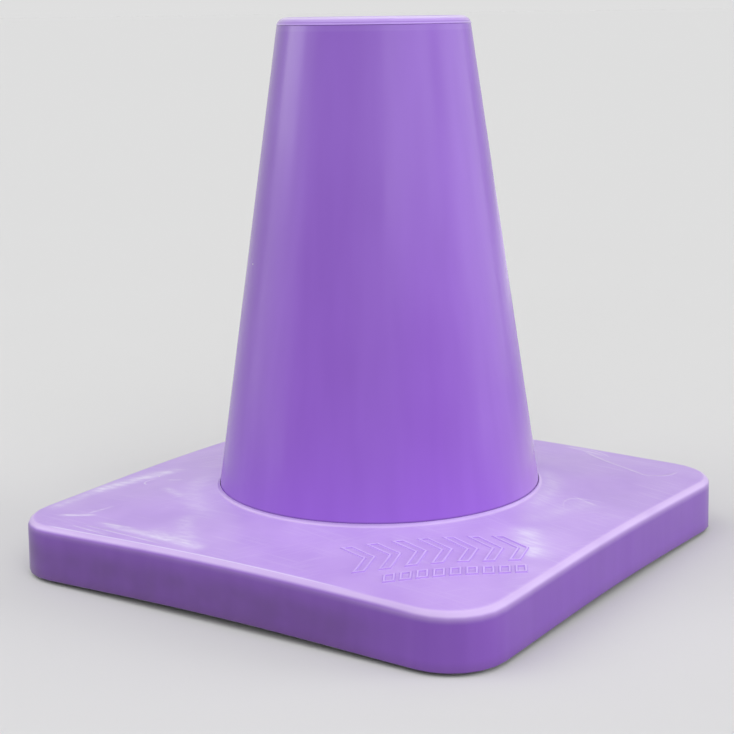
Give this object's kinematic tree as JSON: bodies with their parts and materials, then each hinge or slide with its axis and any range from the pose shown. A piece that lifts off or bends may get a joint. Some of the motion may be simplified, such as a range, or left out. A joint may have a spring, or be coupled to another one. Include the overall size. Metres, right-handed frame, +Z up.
{
  "type": "marker cone",
  "caption": "Purple marker cone: a tapered sleeve with an open, in-turned top on a square, soft-edged base cover that is closed underneath by a rubber ballast plate.",
  "frame": {"origin": "on the floor, under the middle of the square base", "axes": "+Z up along the cone's axis; the sides of the base lie along X and Y"},
  "size_m": [0.2994, 0.2994, 0.3],
  "materials": {
    "sleeve_vinyl": "soft satin moulded vinyl, mid purple",
    "cover_vinyl": "soft satin moulded vinyl, mid purple, lightly scuffed",
    "ballast_rubber": "matt black moulded rubber"
  },
  "bodies": {
    "root": {"cone_sleeve": "sleeve_vinyl", "base_cover": "cover_vinyl", "ballast_plate": "ballast_rubber"}
  },
  "joints": []
}
